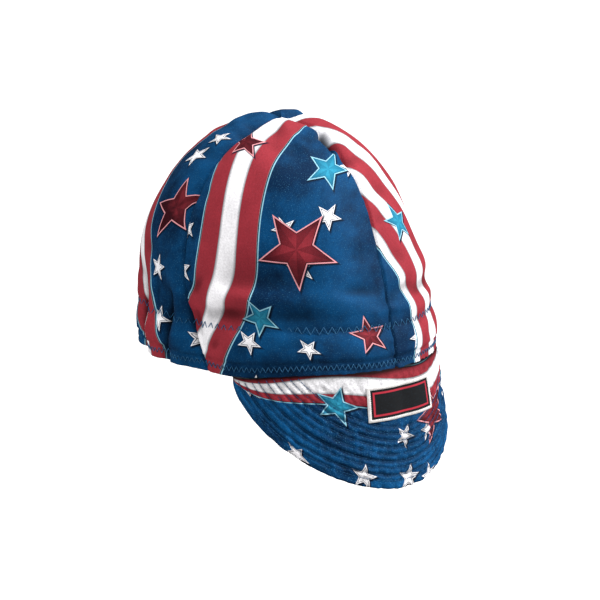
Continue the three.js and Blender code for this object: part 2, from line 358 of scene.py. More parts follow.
def crownNormal(turn, climb):
    return facing(smoothCrown, turn, np.clip(climb, 2e-3, 0.985))


def softNoise(x, y, seed):
    lattice = np.random.default_rng(seed).uniform(-1, 1, (64, 64))
    i, j = np.floor(x).astype(int), np.floor(y).astype(int)
    s, t = x - i, y - j
    s, t = s * s * (3 - 2 * s), t * t * (3 - 2 * t)
    rows = [(lattice[(i + k) % 64, j % 64], lattice[(i + k) % 64, (j + 1) % 64]) for k in (0, 1)]
    low, high = (near * (1 - t) + far * t for near, far in rows)
    return low * (1 - s) + high * s


def gathered(turn, climb):
    g = gathers
    start = seamTurn("left", np.array(0.0))
    share = (np.abs(wrap(turn)) - start) / (np.pi - start)
    fold = g["lead"] + share * (g["count"] - g["lead"])
    wave = 0.5 + 0.5 * np.cos(2 * np.pi * fold)
    above = bell(np.maximum(crownHeightAt(climb) - band["height"], 0) / g["fade"])
    opening = np.clip(share * g["count"], 0, 1)
    around = turn * crown["girthRadius"] / g["creaseWidth"]
    finer = softNoise(around, climb * g["creaseRows"], g["creaseSeed"])
    return opening * above * (g["depth"] * wave + g["creaseDepth"] * finer)


def seamDistance(turn, climb, place):
    radius = np.hypot(place[..., 0], place[..., 1])
    across = np.stack([wrap(turn - seamTurn(seam, climb)) for seam in seamNames]) * radius
    nearest = np.abs(across).argmin(axis=0)[None]
    signed = np.take_along_axis(across, nearest, 0)[0]
    return np.abs(signed), signed > 0


def creased(turn, climb, radius):
    depth = 0 * turn
    for row in creases:
        c = dict(zip(creaseColumns, row))
        across = wrap(turn - math.radians(c["fromTurn"])) * radius
        up = (climb - c["fromClimb"]) * crown["clothLength"]
        spanAcross = math.radians(c["toTurn"] - c["fromTurn"]) * radius
        spanUp = (c["toClimb"] - c["fromClimb"]) * crown["clothLength"]
        share = (across * spanAcross + up * spanUp) / (spanAcross**2 + spanUp**2)
        share = np.clip(share, 0, 1)
        away = np.hypot(across - share * spanAcross, up - share * spanUp)
        depth = depth + c["depth"] * bell(away / c["wide"]) * (0.5 + 0.5 * np.sin(np.pi * share))
    return depth


def mainFolds(turn, climb, nearest):
    depth = crown["seamDip"] * bell(nearest / crown["seamDipWidth"])
    for row in crownFolds:
        fold = dict(zip(foldColumns, row))
        middle = np.radians(fold["turnDeg"] + fold["slantDeg"] * (climb - fold["climb"]))
        spread = bell(wrap(turn - middle) / np.radians(fold["wideDeg"]))
        depth = depth + fold["depth"] * spread * bell((climb - fold["climb"]) / fold["tall"])
    return depth + gathered(turn, climb)


def softFolds(turn, climb, nearest, side, place):
    s = softness
    radius = np.hypot(place[..., 0], place[..., 1])
    height = crownHeightAt(climb)
    climbed = climb * crown["clothLength"]
    depth = s["grooveDepth"] * bell(nearest / s["grooveWidth"]) - buckleAt(turn, climb)
    sideRow = np.where(side, *s["puckerRows"]) + 0 * climb
    ripple = softNoise(climbed / s["puckerPitch"] * 2, sideRow, s["seed"])
    depth = depth + s["puckerDepth"] * ripple * bell(nearest / s["puckerReach"])
    aboveBand = bell((height - band["height"] - s["tuckAbove"]) / s["tuckAbove"])
    tucks = softNoise(turn * crown["girthRadius"] / s["tuckWide"], height / s["tuckTall"], s["seed"] + 1)
    depth = depth + s["tuckDepth"] * tucks * aboveBand
    swells = softNoise(turn * radius / s["swellSize"], climbed / s["swellSize"], s["seed"] + 2)
    depth = depth + s["swellDepth"] * swells * np.clip((1 - climb) / s["swellFade"], 0, 1)
    for row in ("hemRow", "topRow"):
        depth = depth + band["rowDip"] * bell((height - band[row]) / band["rowDipWidth"])
    depth = depth + band["creaseDip"] * bell((height - band["creaseHeight"]) / band["creaseWidth"])
    around = (turn * radius + height * band["ruckSlant"]) / band["ruckPitch"]
    rucks = softNoise(around * 2, height / band["ruckPitch"], s["seed"] + 3)
    depth = depth + band["ruckDepth"] * rucks * bell(height / band["creaseHeight"])
    between = np.clip((height - band["hemRow"]) / (band["topRow"] - band["hemRow"]), 0, 1)
    depth = depth - band["puff"] * np.sin(np.pi * between)
    gathering = np.clip((climb - s["apexFrom"]) / (1 - s["apexFrom"]), 0, 1)
    depth = depth + s["apexDip"] * gathering * (bell(nearest / s["apexDipWidth"]) - s["apexPuff"])
    return depth + creased(turn, climb, radius)


def crownDepth(turn, climb, soft=True):
    place = smoothCrown(turn, climb)
    nearest, side = seamDistance(turn, climb, place)
    depth = mainFolds(turn, climb, nearest)
    return depth + softFolds(turn, climb, nearest, side, place) if soft else depth


def rimLift(turn, height):
    lift = 0 * height
    for rise, middleDeg, wideDeg, fade in band["rimLifts"]:
        beside = (np.abs(wrap(turn)) - math.radians(middleDeg)) / math.radians(wideDeg)
        lift = lift + rise * bell(beside) * bell(height / fade)
    return lift


def crownSkin(turn, climb, depth=0.0, soft=True):
    turn, climb = np.broadcast_arrays(np.asarray(turn, float), np.asarray(climb, float))
    place = smoothCrown(turn, climb)
    place[..., 2] += rimLift(turn, crownHeightAt(climb))
    return place - crownNormal(turn, climb) * (crownDepth(turn, climb, soft) + depth)[..., None]


def paintedValleyShade(depth, cell):  # painted shade: how dark each place of a grid is painted for lying below its neighbourhood, from 0 to 1
    around = depth
    for step in range(round((softness["shadeReach"] / cell) ** 2 * 4)):
        wide = np.pad(around, 1, "edge")
        beside = wide[:-2, 1:-1] + wide[2:, 1:-1] + wide[1:-1, :-2] + wide[1:-1, 2:]
        around = beside / 8 + around / 2
    below = (depth - around) / softness["shadeDepth"]
    first = softness["shadeFirst"]
    return first * np.clip(below, 0, 1) + (1 - first) * np.clip(below - 1, 0, 1)


# the crown's cloth is cut a little fuller than the head, so a short simulation lets it buckle between
# its seams and the stitched band; what it moves is laid over the folds above

slack = {
    "columns": 168,
    "rows": 54,
    "topClimb": 0.992,
    "frames": 26,
    "growth": 0.017,
    "pinWidth": 0.0022,  # how wide the cloth is held beside a seam and a stitched row
    "bandPin": 0.0035,
    "rimPin": 0.004,
    "topPin": 0.985,
    "leastPin": 0.05,
    "quality": 6,
    "mass": 0.15,
    "cap": 0.0024,  # the furthest that a point may move
    "bending": 8,
    "tension": 12,
    "share": 0.8,
}


def buckledCloth():
    w = slack
    turn = np.linspace(0, 2 * np.pi, w["columns"], endpoint=False)[None]
    climb = np.linspace(0, w["topClimb"], w["rows"])[:, None]
    turn, climb = np.broadcast_arrays(turn, climb)
    start = crownSkin(turn, climb, soft=False)
    index = np.arange(start[..., 0].size).reshape(start.shape[:2])
    after = np.roll(index, -1, axis=1)
    quads = np.stack([index[:-1], after[:-1], after[1:], index[1:]], -1).reshape(-1, 4)
    mesh = bpy.data.meshes.new("slack")
    mesh.from_pydata(start.reshape(-1, 3).tolist(), [], quads.tolist())
    cloth = bpy.data.objects.new("slack", mesh)
    bpy.context.scene.collection.objects.link(cloth)
    nearest = seamDistance(turn, climb, smoothCrown(turn, climb))[0]
    height = crownHeightAt(climb)
    sewn = np.maximum(bell(nearest / w["pinWidth"]), bell((height - band["topRow"]) / w["bandPin"]))
    sewn = np.maximum(sewn, (height < w["rimPin"]) | (climb > w["topPin"]))
    pins = cloth.vertex_groups.new(name="sewn")
    for vertex, weight in zip(index.ravel().tolist(), sewn.ravel().tolist()):
        if weight > w["leastPin"]:
            pins.add([vertex], min(weight, 1.0), "REPLACE")
    modifier = cloth.modifiers.new("cloth", "CLOTH")
    settings = modifier.settings
    settings.quality = w["quality"]
    settings.mass = w["mass"]
    settings.tension_stiffness = w["tension"]
    settings.compression_stiffness = w["tension"]
    settings.shear_stiffness = w["tension"] / 2
    settings.bending_stiffness = w["bending"]
    settings.shrink_min = -w["growth"]
    settings.effector_weights.gravity = 0
    settings.vertex_group_mass = "sewn"
    modifier.point_cache.frame_end = w["frames"]
    for frameNumber in range(1, w["frames"] + 1):
        bpy.context.scene.frame_set(frameNumber)
    moved = cloth.evaluated_get(bpy.context.evaluated_depsgraph_get()).data
    places = np.empty(start.size)
    moved.vertices.foreach_get("co", places)
    bpy.data.objects.remove(cloth)
    bpy.context.scene.frame_set(1)
    out = ((places.reshape(start.shape) - start) * crownNormal(turn, climb)).sum(-1)
    out = w["cap"] * np.tanh(out / w["cap"]) * w["share"]
    around = (np.roll(out, 1, axis=1) + np.roll(out, -1, axis=1)) / 4 + out / 2
    padded = np.pad(around, ((1, 1), (0, 0)), "edge")
    return (padded[:-2] + padded[2:]) / 4 + around / 2


def buckleAt(turn, climb):
    rows, columns = buckles.shape
    x = np.mod(turn, 2 * np.pi) / (2 * np.pi) * columns
    y = np.clip(climb / slack["topClimb"], 0, 1) * (rows - 1)
    total = 0
    for j, b in cubicWeights(y):
        for i, a in cubicWeights(x):
            total = total + a * b * buckles[np.clip(j, 0, rows - 1), i % columns]
    return total


def cubicWeights(x):
    first = np.floor(x).astype(int)
    t = x - first
    weights = (-t + 2 * t**2 - t**3, 2 - 5 * t**2 + 3 * t**3, t + 4 * t**2 - 3 * t**3, t**3 - t**2)
    return [(first + k - 1, weight / 2) for k, weight in enumerate(weights)]


buckles = buckledCloth()
print("cloth buckled")


# meshes

def sheetMesh(name, outer, inner, uv, shade, ring=False, edgeSteps=3, edgeRoundness=0.8, merge=2e-6):
    rows, columns = outer.shape[:2]
    index = np.arange(rows * columns).reshape(rows, columns)
    quads = np.stack([index[:-1, :-1], index[:-1, 1:], index[1:, 1:], index[1:, :-1]], -1).reshape(-1, 4)
    half = rows * columns
    faces = [quads, quads[:, ::-1] + half]
    points = [outer.reshape(-1, 3), inner.reshape(-1, 3)]
    flats = [uv.reshape(-1, 2), uv.reshape(-1, 2)]
    shades = [shade.ravel(), 0 * shade.ravel()]
    if ring:
        chains = [index[0], index[-1]]
    else:
        around = [index[0], index[1:, -1], index[-1, -2::-1], index[-2:0:-1, 0], index[0, :1]]
        chains = [np.concatenate(around)]
    r, c = np.unravel_index(np.arange(half), (rows, columns))
    inside = np.clip(r, 1, rows - 2) * columns + (c if ring else np.clip(c, 1, columns - 2))
    for chain in chains:
        top, bottom = points[0][chain], points[1][chain]
        outwards = unit(top - points[0][inside[chain]])
        radius = np.linalg.norm(top - bottom, axis=1, keepdims=True) / 2
        rings = [chain]
        for step in range(1, edgeSteps + 1):
            bend = math.pi * step / (edgeSteps + 1)
            middle = (top + bottom) / 2 + (top - bottom) / 2 * math.cos(bend)
            rings.append(np.arange(len(chain)) + sum(len(p) for p in points))
            points.append(middle + outwards * radius * math.sin(bend) * edgeRoundness)
            flats.append(flats[0][chain])
            shades.append(shades[0][chain])
        rings.append(chain + half)
        for low, high in zip(rings[:-1], rings[1:]):
            faces.append(np.stack([low[:-1], high[:-1], high[1:], low[1:]], -1))
    mesh = bpy.data.meshes.new(name)
    mesh.from_pydata(np.concatenate(points).tolist(), [], np.concatenate(faces).tolist())
    back = np.zeros(sum(len(f) for f in faces), int)
    back[len(quads) : 2 * len(quads)] = 1
    mesh.polygons.foreach_set("material_index", back)
    # each point's painted shade, read by the material
    mesh.attributes.new("shade", "FLOAT", "POINT").data.foreach_set("value", np.concatenate(shades))
    layer = mesh.uv_layers.new(name="cloth")
    corner = np.zeros(len(mesh.loops), int)
    mesh.loops.foreach_get("vertex_index", corner)
    layer.data.foreach_set("uv", np.concatenate(flats)[corner].ravel())
    work = bmesh.new()
    work.from_mesh(mesh)
    bmesh.ops.remove_doubles(work, verts=work.verts, dist=merge)
    bmesh.ops.recalc_face_normals(work, faces=work.faces)
    work.to_mesh(mesh)
    work.free()
    mesh.polygons.foreach_set("use_smooth", [True] * len(mesh.polygons))
    piece = bpy.data.objects.new(name, mesh)
    bpy.context.scene.collection.objects.link(piece)
    return piece


def clothMap(points):  # lays a grid of places flat, in metres of cloth
    steps = np.linalg.norm(np.diff(points, axis=1), axis=-1)
    across = np.concatenate([np.zeros((len(points), 1)), np.cumsum(steps, axis=1)], axis=1)
    across = across - across[:, -1:] / 2
    middle = points[:, points.shape[1] // 2]
    climbs = np.linalg.norm(np.diff(middle, axis=0), axis=-1)
    up = np.concatenate([[0], np.cumsum(climbs)])
    return np.stack([across, np.broadcast_to(up[:, None], across.shape)], -1)


def crowded(count, crowding=0.6):  # more columns near the seams
    share = np.linspace(0, 1, count)
    return share - crowding * np.sin(2 * np.pi * share) / (2 * np.pi)


# shader helpers

def addNode(tree, kind, wires=None, **settings):
    made = tree.nodes.new(kind)
    for name, value in settings.items():
        setattr(made, name, value)
    for socket, value in (wires or {}).items():
        if isinstance(value, bpy.types.NodeSocket):
            tree.links.new(value, made.inputs[socket])
        else:
            made.inputs[socket].default_value = value
    return made


def maths(tree, operation, *values, clamp=False):
    made = addNode(tree, "ShaderNodeMath", dict(enumerate(values)), operation=operation)
    made.use_clamp = clamp
    return made.outputs[0]


def mixed(tree, share, under, over, blend="MIX"):
    made = addNode(tree, "ShaderNodeMix", {0: share, 6: under, 7: over}, data_type="RGBA")
    made.blend_type = blend
    return made.outputs[2]


def newGroup(name, inputs, outputs):
    tree = bpy.data.node_groups.new(name, "ShaderNodeTree")
    for socket, kind, value in inputs:
        made = tree.interface.new_socket(socket, in_out="INPUT", socket_type="NodeSocket" + kind)
        if value is not None:
            made.default_value = value
    for socket, kind in outputs:
        tree.interface.new_socket(socket, in_out="OUTPUT", socket_type="NodeSocket" + kind)
    return tree, tree.nodes.new("NodeGroupInput").outputs, tree.nodes.new("NodeGroupOutput").inputs


def inkBelow(tree, value, limit, soft=0.00022):  # 1 where the value lies below the limit, with a soft edge
    room = maths(tree, "SUBTRACT", limit, value)
    return maths(tree, "MULTIPLY_ADD", room, 1 / soft, 0.5, clamp=True)


def makeStarShape():
    tree, given, wanted = newGroup(
        "starShape",
        [("Vector", "Vector", None), ("Centre", "Vector", None), ("Radius", "Float", 0.01),
         ("Turn", "Float", 0.0), ("Waist", "Float", 0.4)],
        [("Edge", "Float"), ("Facet", "Float"), ("Reach", "Float")],
    )
    place = addNode(tree, "ShaderNodeVectorMath", {0: given["Vector"], 1: given["Centre"]},
                    operation="SUBTRACT")
    xyz = addNode(tree, "ShaderNodeSeparateXYZ", {0: place.outputs[0]}).outputs
    squared = [maths(tree, "MULTIPLY", xyz[k], xyz[k]) for k in (0, 1)]
    far = maths(tree, "SQRT", maths(tree, "ADD", *squared))
    angle = maths(tree, "ADD", maths(tree, "ARCTAN2", xyz[1], xyz[0]), given["Turn"])
    folded = maths(tree, "PINGPONG", angle, math.pi / 5)
    along = maths(tree, "MULTIPLY", far, maths(tree, "COSINE", folded))
    aside = maths(tree, "MULTIPLY", far, maths(tree, "SINE", folded))
    valleyUp = maths(tree, "MULTIPLY", given["Waist"], math.sin(math.pi / 5))
    waistAlong = maths(tree, "MULTIPLY", given["Waist"], math.cos(math.pi / 5))
    valleyAlong = maths(tree, "SUBTRACT", 1.0, waistAlong)
    squared = [maths(tree, "MULTIPLY", part, part) for part in (valleyUp, valleyAlong)]
    edgeLength = maths(tree, "SQRT", maths(tree, "ADD", *squared))
    beyondTip = maths(tree, "MULTIPLY", maths(tree, "SUBTRACT", along, given["Radius"]), valleyUp)
    across = maths(tree, "ADD", beyondTip, maths(tree, "MULTIPLY", aside, valleyAlong))
    tree.links.new(maths(tree, "DIVIDE", across, edgeLength), wanted["Edge"])
    fifths = maths(tree, "FRACT", maths(tree, "MULTIPLY", angle, 5 / (2 * math.pi)))
    tree.links.new(maths(tree, "LESS_THAN", fifths, 0.5), wanted["Facet"])
    tree.links.new(maths(tree, "DIVIDE", far, given["Radius"]), wanted["Reach"])
    return tree


def groupNode(tree, group, wires):
    return addNode(tree, "ShaderNodeGroup", wires, node_tree=group).outputs


def newMaterial(name):
    material = bpy.data.materials.new(name)
    material.use_nodes = True
    return material, material.node_tree, material.node_tree.nodes["Principled BSDF"]


def setShader(shader, values):
    for socket, value in values.items():
        shader.inputs[socket].default_value = value


# the print: a generic one, of wavy ribbons of stripes and plain five-point stars on a deep blue ground
inks = {
    "ground": "#03426f",
    "groundDark": "#012343",
    "red": "#942e38",
    "redDark": "#380d15",
    "white": "#f3f1f4",
    "grey": "#77777c",
    "navy": "#03152a",
    "cyan": "#2b8aa8",
    "cyanDark": "#0f5a78",
    "pink": "#e59aa0",
    "paleBlue": "#8fc4d6",
    "wrongSide": "#c9ccd4",
}
printSizes = {
    "smallStar": 0.0086,
    "smallStarSpacing": 0.034,
    "smallStarKeep": 0.8,  # share of the cells that hold one
    "smallStarUneven": 0.55,
    "smallStarRange": (0.8, 0.3),  # the smallest one's share of the size, and how much more the largest has
    "smallStarFacets": 0.05,
    "smallStarLine": 0.0005,
    "largeStarFacets": 0.4,
    "largeStarTips": 0.8,
    "largeStarWaist": 0.42,
    "largeStarLine": 0.0007,
    "fillInset": 1.7,  # in widths of a star's line
    "tipShade": (1.7, -0.35),
    "stripe": 0.0125,
    "stripeEdge": 0.0018,  # a white stripe's grey edge
    "ribbonRim": (0.0013, 0.0006),  # outer reach of the pale and of the dark line beside a ribbon
    "ribbonWave": 0.006,
    "ribbonWaveLength": 0.16,
    "slowWave": (0.37, 1.3),  # rate and start of the second wave
    "cloudScale": 22.0,
    "cloudContrast": (3.2, -1.1),
    "shadowShift": (0.0007, -0.0008, 0.0),
    "shadowSpread": 0.0004,
    "shadowSoft": 0.0009,
}


def makePrintStar(starShape):  # one faceted star over what is beneath it: shadow, rim, line and fill
    tree, given, wanted = newGroup(
        "printStar",
        [("Under", "Color", None), ("Vector", "Vector", None), ("Centre", "Vector", None),
         ("Radius", "Float", 0.01), ("Turn", "Float", 0.0), ("Waist", "Float", 0.4),
         ("Fill", "Color", None), ("Line", "Color", None), ("Rim", "Color", None),
         ("Outline", "Float", 0.0008), ("Facets", "Float", 0.4), ("Tips", "Float", 0.0),
         ("Show", "Float", 1.0)],
        [("Color", "Color")],
    )
    size = {k: given[k] for k in ("Centre", "Radius", "Turn", "Waist")}
    moved = {0: given["Vector"], 1: printSizes["shadowShift"]}
    beside = addNode(tree, "ShaderNodeVectorMath", moved, operation="SUBTRACT").outputs[0]
    shadow = groupNode(tree, starShape, {"Vector": beside, **size})["Edge"]
    shadow = inkBelow(tree, shadow, printSizes["shadowSpread"], printSizes["shadowSoft"])
    shadow = maths(tree, "MULTIPLY", shadow, given["Show"])
    shape = groupNode(tree, starShape, {"Vector": given["Vector"], **size})
    colour = mixed(tree, shadow, given["Under"], linear(inks["navy"]))
    facets = maths(tree, "MULTIPLY", shape["Facet"], given["Facets"])
    fill = mixed(tree, facets, given["Fill"], given["Line"])
    tips = maths(tree, "MULTIPLY_ADD", shape["Reach"], *printSizes["tipShade"], clamp=True)
    fill = mixed(tree, maths(tree, "MULTIPLY", tips, given["Tips"]), fill, given["Line"])
    for lines, ink in ((0.0, given["Rim"]), (1.0, given["Line"]), (printSizes["fillInset"], fill)):
        inset = maths(tree, "MULTIPLY", given["Outline"], -lines)
        share = maths(tree, "MULTIPLY", inkBelow(tree, shape["Edge"], inset), given["Show"])
        colour = mixed(tree, share, colour, ink)
    tree.links.new(colour, wanted["Color"])
    return tree


def makeStarScatter(printStar):  # small stars, one to a cell of an uneven grid, some cells left empty
    tree, given, wanted = newGroup(
        "starScatter",
        [("Under", "Color", None), ("Vector", "Vector", None), ("Spacing", "Float", 0.04),
         ("Radius", "Float", 0.008), ("Fill", "Color", None), ("Line", "Color", None),
         ("Rim", "Color", None), ("Outline", "Float", 0.0005), ("Keep", "Float", 0.8)],
        [("Color", "Color")],
    )
    scale = maths(tree, "DIVIDE", 1.0, given["Spacing"])
    cells = addNode(tree, "ShaderNodeTexVoronoi", {"Vector": given["Vector"], "Scale": scale,
                    "Randomness": printSizes["smallStarUneven"]}, voronoi_dimensions="2D", feature="F1")
    dice = addNode(tree, "ShaderNodeSeparateColor", {0: cells.outputs["Color"]}).outputs
    wires = {name: given[name] for name in ("Under", "Vector", "Fill", "Line", "Rim", "Outline")}
    wires["Centre"] = cells.outputs["Position"]
    least, more = printSizes["smallStarRange"]
    grown = maths(tree, "MULTIPLY_ADD", dice[1], more, least)
    wires["Radius"] = maths(tree, "MULTIPLY", given["Radius"], grown)
    wires["Turn"] = maths(tree, "MULTIPLY", dice[0], 2 * math.pi)
    wires["Show"] = maths(tree, "LESS_THAN", dice[2], given["Keep"])
    wires["Facets"] = printSizes["smallStarFacets"]
    tree.links.new(groupNode(tree, printStar, wires)["Color"], wanted["Color"])
    return tree


def makeStripeRibbon():
    tree, given, wanted = newGroup(
        "stripeRibbon",
        [("Under", "Color", None), ("Vector", "Vector", None), ("Turn", "Float", 0.0),
         ("Offset", "Float", 0.0), ("Half Width", "Float", 0.03), ("Stripe", "Float", 0.011),
         ("Wave", "Float", 0.006), ("Wave Length", "Float", 0.15), ("Red", "Color", None),
         ("White", "Color", None), ("Grey", "Color", None), ("Navy", "Color", None),
         ("Rim", "Color", None)],
        [("Color", "Color")],
    )
    turned = addNode(tree, "ShaderNodeVectorRotate", {"Vector": given["Vector"], "Angle": given["Turn"]},
                     rotation_type="Z_AXIS")
    xyz = addNode(tree, "ShaderNodeSeparateXYZ", {0: turned.outputs[0]}).outputs
    phase = maths(tree, "MULTIPLY", maths(tree, "DIVIDE", xyz[0], given["Wave Length"]), 2 * math.pi)
    wave = maths(tree, "MULTIPLY", maths(tree, "SINE", phase), given["Wave"])
    slowPhase = maths(tree, "MULTIPLY_ADD", phase, *printSizes["slowWave"])
    slower = maths(tree, "MULTIPLY", maths(tree, "SINE", slowPhase), given["Wave"])
    level = maths(tree, "ADD", maths(tree, "ADD", xyz[1], wave), slower)
    level = maths(tree, "SUBTRACT", level, given["Offset"])
    outside = maths(tree, "SUBTRACT", maths(tree, "ABSOLUTE", level), given["Half Width"])
    saw = maths(tree, "PINGPONG", level, given["Stripe"])
    fromEdge = maths(tree, "SUBTRACT", saw, maths(tree, "MULTIPLY", given["Stripe"], 0.5))
    red = inkBelow(tree, maths(tree, "MULTIPLY", fromEdge, -1.0), 0.0)
    shade = maths(tree, "DIVIDE", maths(tree, "ABSOLUTE", fromEdge), printSizes["stripeEdge"])
    shade = maths(tree, "SUBTRACT", 1.0, shade, clamp=True)
    white = mixed(tree, shade, given["White"], given["Grey"])
    stripes = mixed(tree, red, white, given["Red"])
    pale, dark = printSizes["ribbonRim"]
    rim = mixed(tree, inkBelow(tree, outside, pale), given["Under"], given["Rim"])
    rim = mixed(tree, inkBelow(tree, outside, dark), rim, given["Navy"])
    colour = mixed(tree, inkBelow(tree, outside, 0.0), rim, stripes)
    tree.links.new(colour, wanted["Color"])
    return tree


wear = {  # what washing leaves in the dye
    "mottleScale": 60,
    "mottleDetail": 3,
    "grainScale": 900,
    "grainDetail": 2,
    "fleckScale": 1500,
    "fleckDetail": 3,
    "fleckFrom": 0.13,
    "fleckSharpness": 9.0,
    "fleckInk": (0.10, 0.34, 0.52, 1),
}


def makeCottonWear():
    tree, given, wanted = newGroup(
        "cottonWear",
        [("Color", "Color", None), ("Vector", "Vector", None), ("Mottle", "Float", 0.18),
         ("Grain", "Float", 0.16), ("Fleck", "Float", 0.25)],
        [("Color", "Color")],
    )

    def grain(scale, detail):
        made = addNode(tree, "ShaderNodeTexNoise", {"Vector": given["Vector"], "Scale": scale,
                       "Detail": detail, "Roughness": 0.6}, noise_dimensions="2D")
        return maths(tree, "SUBTRACT", made.outputs["Fac"], 0.5)

    mottle = maths(tree, "MULTIPLY", grain(wear["mottleScale"], wear["mottleDetail"]), 2.0)
    light = maths(tree, "MULTIPLY_ADD", mottle, given["Mottle"], 1.0)
    fine = maths(tree, "MULTIPLY", grain(wear["grainScale"], wear["grainDetail"]), 2.0)
    light = maths(tree, "ADD", light, maths(tree, "MULTIPLY", fine, given["Grain"]))
    grey = addNode(tree, "ShaderNodeCombineColor", {0: light, 1: light, 2: light}).outputs[0]
    colour = mixed(tree, 1.0, given["Color"], grey, "MULTIPLY")
    fleck = maths(tree, "SUBTRACT", grain(wear["fleckScale"], wear["fleckDetail"]), wear["fleckFrom"])
    fleck = maths(tree, "MULTIPLY", fleck, wear["fleckSharpness"], clamp=True)
    fleck = maths(tree, "MULTIPLY", fleck, given["Fleck"])
    tree.links.new(mixed(tree, fleck, colour, wear["fleckInk"]), wanted["Color"])
    return tree


weave = {"slubScale": 700.0, "slubDetail": 3.0, "threads": 0.35, "slubs": 0.9}


def makeCottonWeave():
    tree, given, wanted = newGroup(
        "cottonWeave", [("Vector", "Vector", None), ("Pitch", "Float", 0.0005)], [("Height", "Float")]
    )
    xyz = addNode(tree, "ShaderNodeSeparateXYZ", {0: given["Vector"]}).outputs
    turns = maths(tree, "DIVIDE", math.pi, given["Pitch"])
    warp = maths(tree, "SINE", maths(tree, "MULTIPLY", xyz[0], turns))
    weft = maths(tree, "SINE", maths(tree, "MULTIPLY", xyz[1], turns))
    over = maths(tree, "MULTIPLY", warp, weft)
    slub = addNode(tree, "ShaderNodeTexNoise", {"Vector": given["Vector"], "Scale": weave["slubScale"],
                   "Detail": weave["slubDetail"]}, noise_dimensions="2D")
    slubs = maths(tree, "MULTIPLY", slub.outputs["Fac"], weave["slubs"])
    height = maths(tree, "MULTIPLY_ADD", over, weave["threads"], slubs)
    tree.links.new(height, wanted["Height"])
    return tree


starShape = makeStarShape()
groups = {"star": makePrintStar(starShape), "ribbon": makeStripeRibbon(), "wear": makeCottonWear(),
          "weave": makeCottonWeave()}
groups["scatter"] = makeStarScatter(groups["star"])

starInks = {  # fill, inner line, rim
    "red": ("red", "redDark", "pink"),
    "cyan": ("cyan", "cyanDark", "paleBlue"),
}
cottonFinish = {
    "roughness": 0.68,
    "specular": 0.09,
    "sheen": 0.01,
    "sheenRoughness": 0.35,
    "bump": 0.4,
    "bumpDepth": 0.00018,
    "weavePitch": 0.00055,
    # how strongly the painted shade darkens the deepest valleys
    "valleyShade": 0.95,
    "mottle": 0.24,
    "grain": 0.24,
    "fleck": 0.3,
    "printFleck": 0.06,
    "groundPaintedLight": 1.0,
    "wrongSide": 0.55,  # how pale the cloth's wrong side is
}
peakFinish = {
    **cottonFinish,
    "valleyShade": 0.42,
    "mottle": 0.4,
    "grain": 0.42,
    "fleck": 0.9,
    # the peak's ground ink is made lighter: partly painted light for the haze on the peak, partly the paler
    # look of its speckled cloth
    "groundPaintedLight": 1.45,
}


